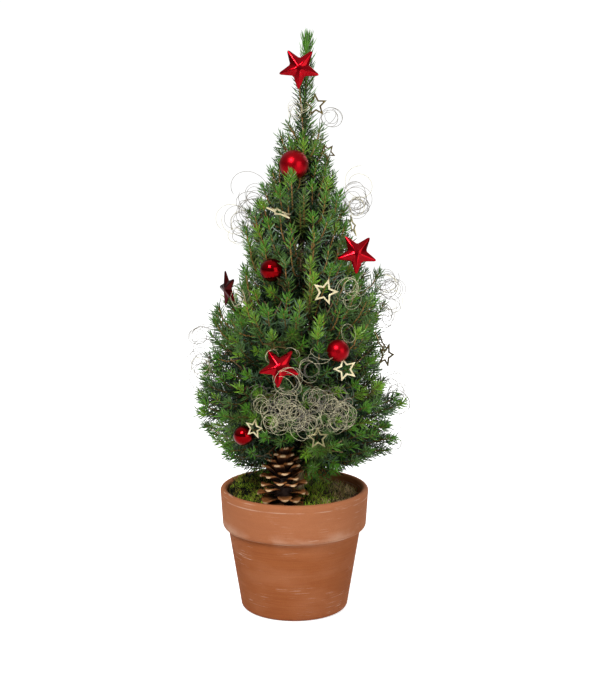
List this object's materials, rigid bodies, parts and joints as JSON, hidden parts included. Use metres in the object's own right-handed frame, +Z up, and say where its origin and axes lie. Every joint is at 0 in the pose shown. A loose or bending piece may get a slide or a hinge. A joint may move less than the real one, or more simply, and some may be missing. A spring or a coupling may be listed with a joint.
{
  "type": "potted dwarf spruce decorated as a small christmas tree",
  "caption": "Small cone-shaped dwarf spruce with dense upright shoots, growing in a collared terracotta pot topped with moss and a pine cone.",
  "frame": {"origin": "centre of the pot's flat underside", "axes": "+Z up along the tree, -Y towards the front, where the pine cone lies, +X to the right seen from the front"},
  "size_m": [0.1759, 0.1771, 0.5],
  "materials": {
    "terracotta": "matte",
    "soil": "matte",
    "moss": "matte",
    "pine_cone": "satin",
    "bark": "matte",
    "needles_dark": "satin",
    "needles_mid": "satin",
    "needles_fresh": "satin",
    "decoration_red": "gloss",
    "decoration_gold": "satin",
    "decoration_fibre": "satin"
  },
  "bodies": {
    "root": {"bough_low_1": "bark", "bough_low_2": "bark", "bough_low_3": "bark", "bough_low_4": "bark", "bough_low_5": "bark", "bough_low_6": "bark", "bough_low_7": "bark", "bough_lower_1": "bark", "bough_lower_2": "bark", "bough_lower_3": "bark", "bough_lower_4": "bark", "bough_lower_5": "bark", "bough_lower_6": "bark", "bough_lower_7": "bark", "bough_middle_1": "bark", "bough_middle_2": "bark", "bough_middle_3": "bark", "bough_middle_4": "bark", "bough_middle_5": "bark", "bough_middle_6": "bark", "foliage_high_1": "needles_dark", "foliage_high_2": "needles_mid", "foliage_high_3": "needles_fresh", "foliage_high_4": "needles_dark", "foliage_leader": "needles_fresh", "foliage_low_1": "needles_dark", "foliage_low_2": "needles_mid", "foliage_low_3": "needles_fresh", "foliage_low_4": "needles_dark", "foliage_low_5": "needles_mid", "foliage_low_6": "needles_fresh", "foliage_low_7": "needles_dark", "foliage_lower_1": "needles_dark", "foliage_lower_2": "needles_mid", "foliage_lower_3": "needles_fresh", "foliage_lower_4": "needles_dark", "foliage_lower_5": "needles_mid", "foliage_lower_6": "needles_fresh", "foliage_lower_7": "needles_dark", "foliage_middle_1": "needles_dark", "foliage_middle_2": "needles_mid", "foliage_middle_3": "needles_fresh", "foliage_middle_4": "needles_dark", "foliage_middle_5": "needles_mid", "foliage_middle_6": "needles_fresh", "foliage_top_1": "needles_dark", "foliage_top_2": "needles_mid", "foliage_top_3": "needles_fresh", "foliage_upper_1": "needles_dark", "foliage_upper_2": "needles_mid", "foliage_upper_3": "needles_fresh", "foliage_upper_4": "needles_dark", "foliage_upper_5": "needles_mid", "moss": "moss", "pine_cone": "pine_cone", "pot": "terracotta", "soil": "soil", "trunk": "bark"}
  },
  "joints": []
}
